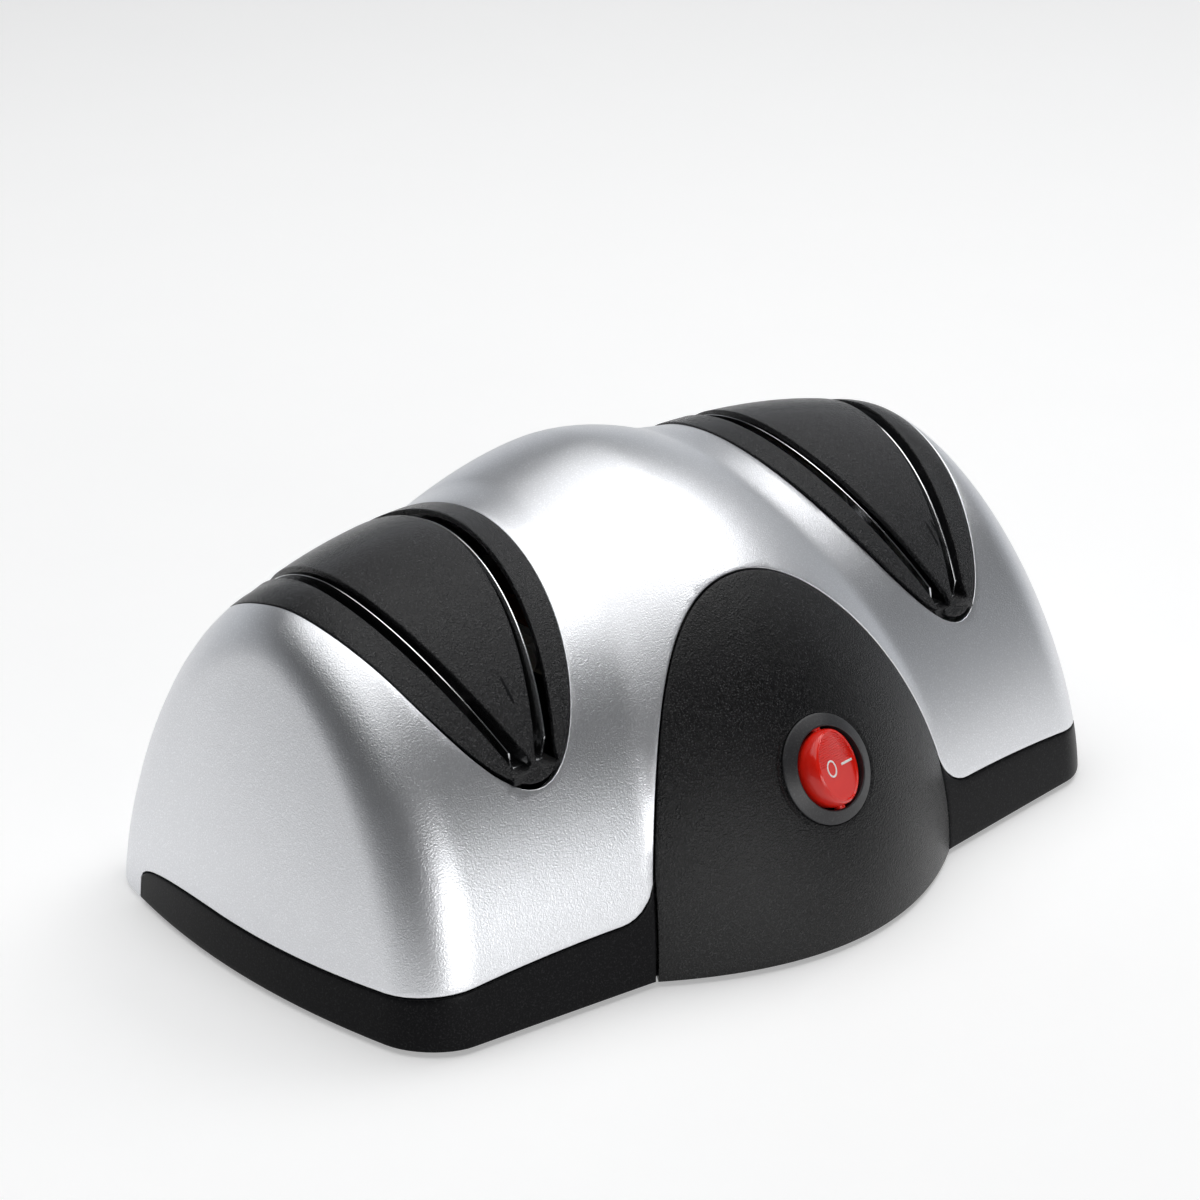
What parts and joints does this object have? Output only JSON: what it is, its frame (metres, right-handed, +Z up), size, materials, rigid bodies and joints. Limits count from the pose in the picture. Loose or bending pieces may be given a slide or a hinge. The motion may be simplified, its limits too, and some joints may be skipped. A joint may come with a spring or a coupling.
{
  "type": "electric knife sharpener",
  "caption": "Benchtop electric knife sharpener: silver domed case with slotted black guide inserts over motor-driven grinding wheels, and a red rocker switch.",
  "frame": {"origin": "on the table plane, under the centre of the object's bounding box", "axes": "+X to the right along the motor shaft, +Y from the front panel to the back, +Z up"},
  "size_m": [0.2068, 0.1436, 0.0875],
  "materials": {
    "silver_case": "satin silver paint with a fine metallic grain",
    "black_base": "satin black moulding",
    "black_panel": "satin black moulding with a fine grain",
    "black_insert": "fine grained black moulding",
    "spring_steel": "bright rolled strip",
    "coarse_grit": "coarse bonded grit on a steel disc",
    "fine_grit": "fine bonded grit",
    "brass": "turned and stamped brass",
    "bronze": "sintered bronze",
    "zinc_steel": "bright zinc plating",
    "shaft_steel": "ground steel",
    "lamination_steel": "stacked electrical steel sheets",
    "copper": "enamelled copper",
    "carbon": "pressed carbon",
    "fan_plastic": "moulded nylon",
    "switch_black": "smooth black moulding",
    "red_lens": "translucent red moulding",
    "rubber": "soft black rubber"
  },
  "bodies": {
    "case": {"housing_top": "silver_case", "base_tray": "black_base", "front_panel": "black_panel", "guide_insert_left": "black_insert", "guide_insert_right": "black_insert", "guide_springs_left": "spring_steel", "guide_springs_right": "spring_steel", "shaft_bushes": "bronze", "stator_core": "lamination_steel", "field_coils": "copper", "bracket_left": "zinc_steel", "bracket_right": "zinc_steel", "bracket_bolts": "zinc_steel", "motor_screws": "zinc_steel", "brush_holders": "brass", "carbon_brushes": "carbon", "brush_springs": "spring_steel", "switch_body": "switch_black", "switch_terminals": "brass", "cord_inlet": "rubber", "rubber_feet": "rubber", "case_screws": "zinc_steel"},
    "rotor": {"drive_shaft": "shaft_steel", "wheel_coarse": "coarse_grit", "wheel_fine": "fine_grit", "wheel_hubs": "brass", "wheel_washers": "zinc_steel", "wheel_nuts": "zinc_steel", "thrust_washers": "zinc_steel", "armature_core": "lamination_steel", "armature_windings": "copper", "commutator": "copper", "cooling_fan": "fan_plastic"},
    "rocker": {"switch_rocker": "red_lens"}
  },
  "joints": [
    {"name": "motor_spin", "type": "hinge", "parent": "case", "child": "rotor", "pos_m": [0, 0.00675, 0.034], "axis": [1, 0, 0], "continuous": true},
    {"name": "rocker_tilt", "type": "hinge", "parent": "case", "child": "rocker", "pos_m": [0, -0.06146, 0.03659], "axis": [0, 0.4696, 0.8829], "range_deg": [-36, 0]}
  ]
}
